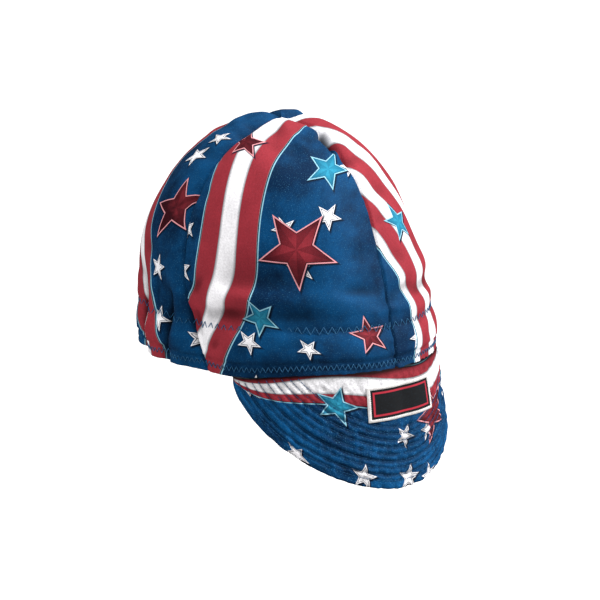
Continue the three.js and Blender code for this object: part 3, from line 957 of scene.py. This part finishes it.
def printedCotton(name, shift, ribbons, stars=(), wrongSide=False, finish=cottonFinish):
    material, tree, shader = newMaterial(name)
    sizes = printSizes
    flat = addNode(tree, "ShaderNodeUVMap", uv_map="cloth").outputs[0]
    cut = addNode(tree, "ShaderNodeMapping", {"Vector": flat, "Location": (*shift, 0)}).outputs[0]
    clouds = addNode(tree, "ShaderNodeTexNoise", {"Vector": cut, "Scale": sizes["cloudScale"],
                     "Detail": 4.0, "Roughness": 0.65}, noise_dimensions="2D").outputs["Fac"]
    rubbed = maths(tree, "MULTIPLY_ADD", clouds, *sizes["cloudContrast"], clamp=True)
    # the ground ink scaled by the finish's painted light, which is none on the crown's cloth
    light = finish["groundPaintedLight"]
    dark, ground = ([c * light for c in linear(inks[ink])] for ink in ("groundDark", "ground"))
    colour = mixed(tree, rubbed, dark, ground)
    wires = {"Color": colour, "Vector": flat, "Mottle": 0.0, "Grain": 0.0, "Fleck": finish["fleck"]}
    colour = groupNode(tree, groups["wear"], wires)["Color"]
    red = mixed(tree, rubbed, linear(inks["redDark"]), linear(inks["red"]))
    wires = {"Under": colour, "Vector": cut, "Spacing": sizes["smallStarSpacing"],
             "Radius": sizes["smallStar"], "Fill": linear(inks["white"]), "Line": linear(inks["navy"]),
             "Rim": linear(inks["white"]), "Outline": sizes["smallStarLine"],
             "Keep": sizes["smallStarKeep"]}
    colour = groupNode(tree, groups["scatter"], wires)["Color"]
    for ribbon in ribbons:
        wires = {"Under": colour, "Vector": flat, "Turn": math.radians(ribbon["turnDeg"]),
                 "Offset": ribbon["offset"], "Half Width": ribbon["half"], "Stripe": sizes["stripe"],
                 "Wave": sizes["ribbonWave"], "Wave Length": sizes["ribbonWaveLength"],
                 "Red": linear(inks["red"]), "White": linear(inks["white"]), "Grey": linear(inks["grey"]),
                 "Navy": linear(inks["navy"]), "Rim": linear(inks["paleBlue"])}
        colour = groupNode(tree, groups["ribbon"], wires)["Color"]
    for star in stars:
        fill, line, rim = (linear(inks[ink]) for ink in starInks[star["ink"]])
        wires = {"Under": colour, "Vector": flat, "Centre": (star["u"], star["v"], 0),
                 "Radius": star["radius"], "Turn": math.radians(star["turnDeg"]),
                 "Waist": sizes["largeStarWaist"], "Fill": red if star["ink"] == "red" else fill,
                 "Line": line, "Rim": rim, "Outline": sizes["largeStarLine"],
                 "Facets": sizes["largeStarFacets"], "Tips": sizes["largeStarTips"]}
        colour = groupNode(tree, groups["star"], wires)["Color"]
    wires = {"Color": colour, "Vector": flat, "Mottle": finish["mottle"], "Grain": finish["grain"],
             "Fleck": finish["printFleck"]}
    colour = groupNode(tree, groups["wear"], wires)["Color"]
    if wrongSide:
        colour = mixed(tree, finish["wrongSide"], colour, linear(inks["wrongSide"]))
    # painted shade: the shade attribute darkens the colour towards black in the cloth's valleys and in the
    # painted shadow at the peak's join
    shade = addNode(tree, "ShaderNodeAttribute", attribute_name="shade").outputs["Fac"]
    colour = mixed(tree, maths(tree, "MULTIPLY", shade, finish["valleyShade"]), colour, (0, 0, 0, 1))
    tree.links.new(colour, shader.inputs["Base Color"])
    setShader(shader, {"Roughness": finish["roughness"], "Specular IOR Level": finish["specular"],
                       "Sheen Weight": finish["sheen"], "Sheen Roughness": finish["sheenRoughness"]})
    height = groupNode(tree, groups["weave"], {"Vector": flat, "Pitch": finish["weavePitch"]})["Height"]
    bump = addNode(tree, "ShaderNodeBump", {"Height": height, "Strength": finish["bump"],
                   "Distance": finish["bumpDepth"]})
    tree.links.new(bump.outputs[0], shader.inputs["Normal"])
    return material


# the four gores

goreMesh = {
    "columns": 131,
    "rows": 150,
    "rowCrowding": 0.94,
    "topClimb": 0.9985,
    "seamGap": 0.00005,
    "mostGap": 0.02,  # as a share of the gore's width
}
gores = {
    "gore_front_right": {
        "seams": ("right", "front"),
        "shift": (0.31, 0.12),
        "ribbons": [{"turnDeg": -67, "offset": 0.068, "half": 0.019}],
        "stars": [
            {"ink": "red", "u": 0.012, "v": 0.078, "radius": 0.025, "turnDeg": 20},
            {"ink": "red", "u": -0.022, "v": 0.148, "radius": 0.014, "turnDeg": 62},
            {"ink": "cyan", "u": 0.030, "v": 0.128, "radius": 0.015, "turnDeg": 5},
            {"ink": "cyan", "u": -0.016, "v": 0.036, "radius": 0.012, "turnDeg": 31},
            {"ink": "red", "u": 0.048, "v": 0.024, "radius": 0.013, "turnDeg": 48},
        ],
    },
    "gore_front_left": {
        "seams": ("front", "left"),
        "shift": (0.77, 0.43),
        "ribbons": [{"turnDeg": 76, "offset": 0.008, "half": 0.050}],
        "stars": [
            {"ink": "red", "u": 0.034, "v": 0.050, "radius": 0.022, "turnDeg": -15},
            {"ink": "cyan", "u": -0.040, "v": 0.088, "radius": 0.013, "turnDeg": 50},
        ],
    },
    "gore_back_left": {
        "seams": ("left", "back"),
        "shift": (1.21, 0.87),
        "ribbons": [{"turnDeg": -58, "offset": 0.03, "half": 0.025}],
        "stars": [
            {"ink": "cyan", "u": -0.03, "v": 0.09, "radius": 0.02, "turnDeg": 12},
            {"ink": "red", "u": 0.045, "v": 0.05, "radius": 0.022, "turnDeg": 40},
        ],
    },
    "gore_back_right": {
        "seams": ("back", "right"),
        "shift": (1.93, 1.11),
        "ribbons": [{"turnDeg": 70, "offset": 0.030, "half": 0.019}],
        "stars": [
            {"ink": "red", "u": 0.045, "v": 0.095, "radius": 0.022, "turnDeg": 33},
            {"ink": "cyan", "u": -0.03, "v": 0.06, "radius": 0.018, "turnDeg": 70},
        ],
    },
}


def makeGore(name, plan):
    g = goreMesh
    climb = np.linspace(0, 1, g["rows"]) ** g["rowCrowding"] * g["topClimb"]
    start, end = (seamTurn(seam, climb) for seam in plan["seams"])
    end = np.where(end < start, end + 2 * np.pi, end)
    halfWidth = alongColumn("width", climb) * crown["rimWidth"] / 2
    inset = np.minimum(g["seamGap"] / np.maximum(halfWidth, 1e-4), (end - start) * g["mostGap"])
    start, end = start + inset, end - inset
    share = crowded(g["columns"])
    turn = start[:, None] + (end - start)[:, None] * share[None]
    climb = np.broadcast_to(climb[:, None], turn.shape)
    outer = crownSkin(turn, climb)
    inner = crownSkin(turn, climb, crown["wall"])
    # painted shade of the gore's valleys, carried to its material
    shade = paintedValleyShade(crownDepth(turn, climb), crown["clothLength"] / g["rows"])
    flat = clothMap(smoothCrown(turn, climb))
    piece = sheetMesh(name.replace("gore", "panel"), outer, inner, flat, shade)
    for side in ("face", "back"):
        material = printedCotton(f"{piece.name}_{side}", plan["shift"], plan["ribbons"], plan["stars"],
                                 wrongSide=side == "back")
        piece.data.materials.append(material)
    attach(piece, "root")
    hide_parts(name)


# the turned-up hem that makes the band, and carries the elastic

headband = {
    "columns": 460,
    "rows": 26,
    "shift": (2.41, 0.33),
    "ribbons": [{"turnDeg": 4, "offset": 0.05, "half": 0.012}],
}


def makeHeadband():
    h = headband
    turn = np.linspace(0, 2 * np.pi, h["columns"] + 1)[None]
    climb = np.linspace(0, climbAt(band["height"]), h["rows"])[:, None]
    turn, climb = np.broadcast_arrays(turn, climb)
    outer = crownSkin(turn, climb, crown["wall"] + band["gap"])
    inner = crownSkin(turn, climb, crown["wall"] + band["gap"] + band["wall"])
    flat = clothMap(smoothCrown(turn, climb))
    piece = sheetMesh("hem_band", outer, inner, flat, 0 * turn, ring=True)
    for side in ("back", "face"):  # turned up, so its right side faces the head
        material = printedCotton(f"hem_band_{side}", h["shift"], h["ribbons"], wrongSide=side == "back")
        piece.data.materials.append(material)
    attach(piece, "root")
    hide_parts("headband")


# the soft peak: two layers of cloth over a stiffening, quilted in rows that follow its free edge

peak = {
    "reach": 0.0716,
    "cornerLength": 0.003,
    "halfTurnDeg": 65.5,
    "wall": 0.0028,
    "inset": 0.0003,
    "gap": 0.0003,
    "rootSlopeDeg": (76.5, 82),  # in the middle and at the corners
    "edgeSlopeDeg": (89.5, 76),
    "roundness": 1.75,
    "fullness": 0.8,
    "columns": 281,
    "rows": 118,
    # stitch rows: distance from the free edge, share of the dip
    "stitchRows": [(0.0040, 0.5), (0.0074, 1.2), (0.0119, 0.6), (0.0156, 1.4), (0.0201, 0.7),
                   (0.0243, 1.0), (0.0283, 0.9), (0.0323, 0.8), (0.0362, 0.7)],
    "rowDip": 0.0009,
    "rowDipWidth": 0.0011,
    "rowPuff": 0.00045,
    "rowFade": 0.004,
    "innerShare": 0.6,  # the quilting is shallower underneath
    "edgePlaces": 700,
    "rootFade": 0.007,
    "rootShade": 0.0022,  # how far below the rim the painted shadow at the join reaches
    "rootShadowDarkness": 1.8,
    "waveDepth": 0.0006,
    "waveSize": 0.02,
    "waveRows": 3.5,
    "waveStart": 7,
    "ruckDepth": 0.0005,  # little rucks that the stitching draws up in the ridges
    "ruckSize": (0.0022, 0.0022),
    "ruckShade": 0.5,
    "seed": 29,
    "shift": (0.56, 0.62),
    "ribbons": [{"turnDeg": -5, "offset": 0.066, "half": 0.0128}],
    "stars": [
        {"ink": "red", "u": 0.030, "v": 0.036, "radius": 0.020, "turnDeg": 40},
        {"ink": "cyan", "u": -0.045, "v": 0.050, "radius": 0.014, "turnDeg": 0},
    ],
}


def peakLength(turn):
    share = np.clip(np.abs(turn) / math.radians(peak["halfTurnDeg"]), 0, 1)
    bulge = (1 - share ** peak["roundness"]) ** peak["fullness"]
    return peak["cornerLength"] + (peak["reach"] - peak["cornerLength"]) * bulge


def peakPlace(turn, share, steps=12):
    start = crownSkin(turn, 0 * turn, peak["inset"], soft=False)
    aside, ahead = np.sin(turn) / crown["rimWidth"], -np.cos(turn) / crown["rimLength"]
    outwards = unit(np.stack([aside, ahead, 0 * turn], -1))
    upwards = np.array([0.0, 0.0, 1.0])
    side = (turn / math.radians(peak["halfTurnDeg"])) ** 2
    ends = []
    for middle, corner in (peak["rootSlopeDeg"], peak["edgeSlopeDeg"]):
        ends.append(np.radians(middle + (corner - middle) * side))

    def slopeAt(part):
        return ends[0] + (ends[1] - ends[0]) * part

    place = start - upwards * peak["gap"]
    step = (peakLength(turn) * share / steps)[..., None]
    for k in range(steps):
        slope = slopeAt(share * (k + 0.5) / steps)[..., None]
        place = place + step * (outwards * np.cos(slope) - upwards * np.sin(slope))
    slope = slopeAt(share)[..., None]
    place = place - upwards * (share * rimLift(turn, 0 * turn))[..., None]
    return place, outwards * np.sin(slope) + upwards * np.cos(slope)


def peakEdge():
    limit = math.radians(peak["halfTurnDeg"])
    turn = np.linspace(-limit, limit, peak["edgePlaces"])
    return peakPlace(turn, np.ones_like(turn))[0]


def fromFreeEdge(places, batch=4000):
    edge = peakEdge()
    flat = places.reshape(-1, 3)
    found = np.empty(len(flat))
    for k in range(0, len(flat), batch):
        apart = flat[k : k + batch, None] - edge[None]
        found[k : k + batch] = np.sqrt((apart**2).sum(-1).min(axis=1))
    return found.reshape(places.shape[:-1])


def quiltDepth(distance):
    depth = 0 * distance
    for row, share in peak["stitchRows"]:
        depth = depth + peak["rowDip"] * share * bell((distance - row) / peak["rowDipWidth"])
    last = peak["stitchRows"][-1][0]
    quilted = np.clip((last + peak["rowFade"] - distance) / peak["rowFade"], 0, 1)
    return depth - peak["rowPuff"] * quilted


def peakGrid():
    limit = math.radians(peak["halfTurnDeg"])
    turn = np.linspace(-limit, limit, peak["columns"])[None]
    share = np.linspace(0, 1, peak["rows"])[:, None]
    turn, share = np.broadcast_arrays(turn, share)
    place, normal = peakPlace(turn, share)
    return turn, share, place, normal


def fromRoot(turn, share):  # 0 where the peak joins the rim, 1 a little below it
    return np.clip(share * peakLength(turn) / peak["rootFade"], 0, 1)


def peakWaves(turn, share):
    around = turn * crown["girthRadius"] / peak["waveSize"] + peak["waveStart"]
    waves = softNoise(around, share * peak["waveRows"], peak["seed"])
    return waves * peak["waveDepth"] * fromRoot(turn, share)


def makePeak():
    turn, share, place, normal = peakGrid()
    distance = fromFreeEdge(place)
    waves = peakWaves(turn, share)
    along, across = peak["ruckSize"]
    settled = fromRoot(turn, share)
    around = turn * crown["girthRadius"] / along
    rucks = peak["ruckDepth"] * settled * softNoise(around, distance / across, peak["seed"] + 1)
    quilt = quiltDepth(distance) * settled
    outer = place - normal * (quilt + waves + rucks)[..., None]
    inner = place - normal * (peak["wall"] - quilt * peak["innerShare"] + waves)[..., None]
    # painted shade: darker in the quilting's grooves and the rucks' hollows
    shade = (quilt + peak["rowPuff"]) / peak["rowDip"] + peak["ruckShade"] * rucks / peak["ruckDepth"]
    # painted shadow under the rim, where the peak joins it
    join = bell(share * peakLength(turn) / peak["rootShade"])
    shade = np.clip(shade, 0, 1) + peak["rootShadowDarkness"] * join
    flat = clothMap(place)
    flat[..., 1] = peak["reach"] - flat[..., 1]
    piece = sheetMesh("peak_cover", outer, inner, flat, shade)
    for side in ("face", "back"):
        material = printedCotton(f"peak_{side}", peak["shift"], peak["ribbons"], peak["stars"],
                                 finish=peakFinish)
        piece.data.materials.append(material)
    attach(piece, "root")
    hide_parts("peak")


# a plain woven patch with an overlocked border

patch = {
    "width": 0.048,
    "height": 0.020,
    "drop": 0.009,
    "lift": 0.0003,
    "wall": 0.0009,
    "border": 0.0012,
    "pillow": 0.0003,  # how far the border's edge stands up, and the border itself
    "borderRise": 0.00015,
    "columns": 97,
    "rows": 41,
    "lineInset": 0.0034,
    "lineWide": 0.0011,
    "lineSoft": 0.0003,
    "field": "#131417",
    "line": "#b32a3a",
    "thread": "#e9e7e6",
    "fleck": 0.1,
    "rib": 0.0007,
    "ribStrength": 0.5,
    "ribDepth": 0.0001,
    "finish": {"Roughness": 0.8, "Specular IOR Level": 0.15, "Sheen Weight": 0.04},
}


def patchPlace(across, down, lift):
    turn = np.arcsin(np.clip(across / (crown["rimWidth"] / 2), -1, 1))
    drop = patch["drop"] + down
    place, normal = peakPlace(turn, drop / peakLength(turn))
    return place + normal * lift, normal


def makePatch():
    a = patch
    across = np.linspace(-a["width"] / 2, a["width"] / 2, a["columns"])[None]
    down = np.linspace(a["height"], 0, a["rows"])[:, None]
    across, down = np.broadcast_arrays(across, down)
    toEdge = np.minimum(a["width"] / 2 - np.abs(across), np.minimum(down, a["height"] - down))
    rimmed = np.clip(toEdge / a["border"], 0, 1)
    pillow = a["pillow"] * (1 - np.abs(2 * rimmed - 1)) + a["borderRise"] * (toEdge < a["border"])
    outer, normal = patchPlace(across, down, a["lift"] + a["wall"])
    outer = outer + normal * pillow[..., None]
    inner = patchPlace(across, down, a["lift"])[0]
    flat = np.stack([across, a["height"] - down], -1)
    piece = sheetMesh("patch_field", outer, inner, flat, 0 * across)
    twill = patchMaterial()
    piece.data.materials.append(twill)
    piece.data.materials.append(twill)
    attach(piece, "root")
    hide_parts("patch")


def patchMaterial():
    a = patch
    material, tree, shader = newMaterial("patchTwill")
    flat = addNode(tree, "ShaderNodeUVMap", uv_map="cloth").outputs[0]
    xyz = addNode(tree, "ShaderNodeSeparateXYZ", {0: flat}).outputs
    fromSide = maths(tree, "SUBTRACT", a["width"] / 2, maths(tree, "ABSOLUTE", xyz[0]))
    fromMiddle = maths(tree, "ABSOLUTE", maths(tree, "SUBTRACT", xyz[1], a["height"] / 2))
    fromTop = maths(tree, "SUBTRACT", a["height"] / 2, fromMiddle)
    toEdge = maths(tree, "MINIMUM", fromSide, fromTop)
    fromLine = maths(tree, "ABSOLUTE", maths(tree, "SUBTRACT", toEdge, a["lineInset"]))
    line = inkBelow(tree, fromLine, a["lineWide"] / 2, a["lineSoft"])
    colour = mixed(tree, line, linear(a["field"]), linear(a["line"]))
    colour = mixed(tree, inkBelow(tree, toEdge, a["border"], a["lineSoft"]), colour, linear(a["thread"]))
    wires = {"Color": colour, "Vector": flat, "Fleck": a["fleck"]}
    tree.links.new(groupNode(tree, groups["wear"], wires)["Color"], shader.inputs["Base Color"])
    slanted = maths(tree, "MULTIPLY", maths(tree, "ADD", xyz[0], xyz[1]), 2 * math.pi / a["rib"])
    bump = addNode(tree, "ShaderNodeBump", {"Height": maths(tree, "SINE", slanted),
                   "Strength": a["ribStrength"], "Distance": a["ribDepth"]})
    tree.links.new(bump.outputs[0], shader.inputs["Normal"])
    setShader(shader, a["finish"])
    return material


# stitches: Geometry Nodes lay one arched thread after another along a path

def makeStitchTree():
    tree = bpy.data.node_groups.new("stitchRow", "GeometryNodeTree")
    face = tree.interface
    face.new_socket("Path", in_out="INPUT", socket_type="NodeSocketGeometry")
    for name, value in (("Spacing", 0.0025), ("Stitch Length", 0.0022), ("Thread Radius", 0.0002),
                        ("Arch", 0.0003), ("Slant", 0.0)):
        face.new_socket(name, in_out="INPUT", socket_type="NodeSocketFloat").default_value = value
    face.new_socket("Thread", in_out="INPUT", socket_type="NodeSocketMaterial")
    face.new_socket("Stitches", in_out="OUTPUT", socket_type="NodeSocketGeometry")
    given = addNode(tree, "NodeGroupInput").outputs

    def vector(x=0.0, y=0.0, z=0.0):
        return addNode(tree, "ShaderNodeCombineXYZ", {0: x, 1: y, 2: z}).outputs[0]

    curve = addNode(tree, "GeometryNodeMeshToCurve", {"Mesh": given["Path"]}).outputs[0]
    places = addNode(tree, "GeometryNodeCurveToPoints", {"Curve": curve, "Length": given["Spacing"]},
                     mode="LENGTH").outputs
    outward = addNode(tree, "GeometryNodeInputNamedAttribute", {"Name": "outward"},
                      data_type="FLOAT_VECTOR").outputs[0]
    along = addNode(tree, "FunctionNodeAlignRotationToVector", {"Vector": places["Tangent"]}, axis="X")
    stood = addNode(tree, "FunctionNodeAlignRotationToVector", {"Rotation": along.outputs[0],
                    "Vector": outward}, axis="Z", pivot_axis="X")
    index = addNode(tree, "GeometryNodeInputIndex").outputs[0]
    turns = maths(tree, "MULTIPLY_ADD", maths(tree, "FLOORED_MODULO", index, 2.0), 2.0, -1.0)
    slant = vector(z=maths(tree, "MULTIPLY", turns, given["Slant"]))
    slanted = addNode(tree, "FunctionNodeRotateRotation", {"Rotation": stood.outputs[0],
                      "Rotate By": slant}, rotation_space="LOCAL")
    half = maths(tree, "MULTIPLY", given["Stitch Length"], 0.5)
    thread = addNode(tree, "GeometryNodeCurveQuadraticBezier", {
        "Resolution": 5,
        "Start": vector(x=maths(tree, "MULTIPLY", half, -1.0)),
        "Middle": vector(z=given["Arch"]),
        "End": vector(x=half),
    }).outputs[0]
    section = addNode(tree, "GeometryNodeCurvePrimitiveCircle", {"Resolution": 5,
                      "Radius": given["Thread Radius"]}, mode="RADIUS").outputs[0]
    stitch = addNode(tree, "GeometryNodeCurveToMesh", {"Curve": thread, "Profile Curve": section,
                     "Fill Caps": True}).outputs[0]
    laid = addNode(tree, "GeometryNodeInstanceOnPoints", {"Points": places["Points"], "Instance": stitch,
                   "Rotation": slanted.outputs[0]}).outputs[0]
    solid = addNode(tree, "GeometryNodeRealizeInstances", {"Geometry": laid}).outputs[0]
    smooth = addNode(tree, "GeometryNodeSetShadeSmooth", {"Geometry": solid}).outputs[0]
    finished = addNode(tree, "GeometryNodeSetMaterial", {"Geometry": smooth,
                       "Material": given["Thread"]})
    out = addNode(tree, "NodeGroupOutput")
    tree.links.new(finished.outputs[0], out.inputs[0])
    return tree


threads = {  # dark and light ink of each
    "blueThread": ("#103a60", "#3a759f"),
    "peakThread": ("#0a3358", "#1f5a8c"),
    "whiteThread": ("#cfccca", "#f4f2f0"),
}
threadFinish = {
    "fibreScale": 900.0,
    "fibreDetail": 3.0,
    "contrast": (2.4, -0.7),
    "bump": 0.6,
    "bumpDepth": 0.0001,
    "finish": {"Roughness": 0.65, "Specular IOR Level": 0.2},
}


def threadMaterial(name):
    t = threadFinish
    material, tree, shader = newMaterial(name)
    place = addNode(tree, "ShaderNodeTexCoord").outputs["Object"]
    fibre = addNode(tree, "ShaderNodeTexNoise", {"Vector": place, "Scale": t["fibreScale"],
                    "Detail": t["fibreDetail"]}).outputs["Fac"]
    shade = maths(tree, "MULTIPLY_ADD", fibre, *t["contrast"], clamp=True)
    dark, light = (linear(ink) for ink in threads[name])
    tree.links.new(mixed(tree, shade, dark, light), shader.inputs["Base Color"])
    bump = addNode(tree, "ShaderNodeBump", {"Height": fibre, "Strength": t["bump"],
                   "Distance": t["bumpDepth"]})
    tree.links.new(bump.outputs[0], shader.inputs["Normal"])
    setShader(shader, t["finish"])
    return material


def sewRow(name, paths, thread, sizes):  # a path: its places, their outward directions, closed or not
    places = np.concatenate([path[0] for path in paths])
    outwards = np.concatenate([path[1] for path in paths])
    edges = []
    start = 0
    for line, _, closed in paths:
        index = np.arange(len(line)) + start
        after = np.roll(index, -1)
        edges += np.stack([index, after], -1)[: len(line) if closed else -1].tolist()
        start += len(line)
    mesh = bpy.data.meshes.new(name + "_path")
    mesh.from_pydata(places.tolist(), edges, [])
    mesh.attributes.new("outward", "FLOAT_VECTOR", "POINT").data.foreach_set("vector", outwards.ravel())
    path = bpy.data.objects.new(name + "_path", mesh)
    bpy.context.scene.collection.objects.link(path)
    row = path.modifiers.new("stitches", "NODES")
    row.node_group = stitchTree
    sockets = stitchTree.interface.items_tree
    named = {item.name: item.identifier for item in sockets if item.in_out == "INPUT"}
    for label, value in sizes.items():
        row[named[label]] = value
    row[named["Thread"]] = thread
    depsgraph = bpy.context.evaluated_depsgraph_get()
    sewn = bpy.data.meshes.new_from_object(path.evaluated_get(depsgraph))
    sewn.name = name
    bpy.data.objects.remove(path)
    piece = bpy.data.objects.new(name, sewn)
    bpy.context.scene.collection.objects.link(piece)
    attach(piece, "root")


sewing = {
    "pathPoints": 900,
    "lift": 0.00005,  # of a stitch's ends above the cloth
    "innerDrop": 0.0012,  # the zigzag comes out a little lower inside
    "rootMargin": 0.0012,  # a peak's row ends this far from the rim
    "topZigzag": {"pitch": 0.0051, "height": 0.0044, "radius": 0.00021, "arch": 0.0005},
    "hemZigzag": {"pitch": 0.0034, "height": 0.0032, "radius": 0.00021, "arch": 0.0005},
    "peakStitch": {"pitch": 0.0022, "length": 0.0018, "radius": 0.00017, "arch": 0.0004},
    "patchStitch": {"pitch": 0.00062, "overlap": 1.25, "lean": 0.12, "radius": 0.00029, "arch": 0.0007,
                    "lift": 0.0001, "sidePoints": 60},
}


def roundCrown(height, depth, facingOut=1):
    turn = np.linspace(0, 2 * np.pi, sewing["pathPoints"], endpoint=False)
    climb = np.full_like(turn, climbAt(height))
    places = crownSkin(turn, climb, depth)
    return places, crownNormal(turn, climb) * facingOut, True


def zigzag(sizes):
    half, high = sizes["pitch"] / 2, sizes["height"]
    return {"Spacing": half, "Stitch Length": math.hypot(half, high), "Slant": math.atan2(high, half),
            "Thread Radius": sizes["radius"], "Arch": sizes["arch"]}


def sewCrown(thread):
    inside = crown["wall"] + band["gap"] + band["wall"]
    for name, height, sizes in (("top_zigzag", band["topRow"], sewing["topZigzag"]),
                                ("hem_zigzag", band["hemRow"], sewing["hemZigzag"])):
        outerRow = roundCrown(height, -sewing["lift"])
        innerRow = roundCrown(height - sewing["innerDrop"], inside + sewing["lift"], -1)
        sewRow(name, [outerRow, innerRow], thread, zigzag(sizes))


def peakRowPaths():
    turn, share, place, _ = peakGrid()
    distance = fromFreeEdge(place)
    paths = []
    for wanted, _ in peak["stitchRows"]:
        spot, turns = [], []
        for column in range(distance.shape[1]):
            line = distance[::-1, column]
            if line[-1] > wanted + sewing["rootMargin"]:
                spot.append(np.interp(wanted, line, share[::-1, column]))
                turns.append(turn[0, column])
        spot, turns = np.array(spot), np.array(turns)
        onPeak, outwards = peakPlace(turns, spot)
        quilt = quiltDepth(np.array(wanted)) * fromRoot(turns, spot)
        for side, depth in ((1, quilt), (-1, peak["wall"] - quilt * peak["innerShare"])):
            depth = depth + peakWaves(turns, spot) - side * sewing["lift"]
            paths.append((onPeak - outwards * depth[:, None], outwards * side, False))
    return paths


def sewPeak(thread):
    sizes = sewing["peakStitch"]
    sewRow("peak_stitches", peakRowPaths(), thread,
           {"Spacing": sizes["pitch"], "Stitch Length": sizes["length"], "Slant": 0.0,
            "Thread Radius": sizes["radius"], "Arch": sizes["arch"]})


def sewPatch(thread):
    a, sizes = patch, sewing["patchStitch"]
    inset = a["border"] / 2
    corners = [(-1, 0), (1, 0), (1, 1), (-1, 1), (-1, 0)]
    rows = []
    for (x0, y0), (x1, y1) in zip(corners[:-1], corners[1:]):
        t = np.linspace(0, 1, sizes["sidePoints"], endpoint=False)
        across = (x0 + (x1 - x0) * t) * (a["width"] / 2 - inset)
        down = inset + (y0 + (y1 - y0) * t) * (a["height"] - 2 * inset)
        rows.append(np.stack([across, down], -1))
    across, down = np.concatenate(rows).T
    places, outwards = patchPlace(across, down, a["lift"] + a["wall"] + sizes["lift"])
    sewRow("patch_border", [(places, outwards, True)], thread,
           {"Spacing": sizes["pitch"], "Stitch Length": a["border"] * sizes["overlap"],
            "Slant": math.pi / 2 - sizes["lean"], "Thread Radius": sizes["radius"], "Arch": sizes["arch"]})


right, back, above = setCamera()
setStudio(right, back, above)
for name, plan in gores.items():
    makeGore(name, plan)
print("gores made")
makeHeadband()
makePeak()
makePatch()
print("band, peak and patch made")
stitchTree = makeStitchTree()
sewCrown(threadMaterial("blueThread"))
sewPeak(threadMaterial("peakThread"))
sewPatch(threadMaterial("whiteThread"))
print("stitches sewn")
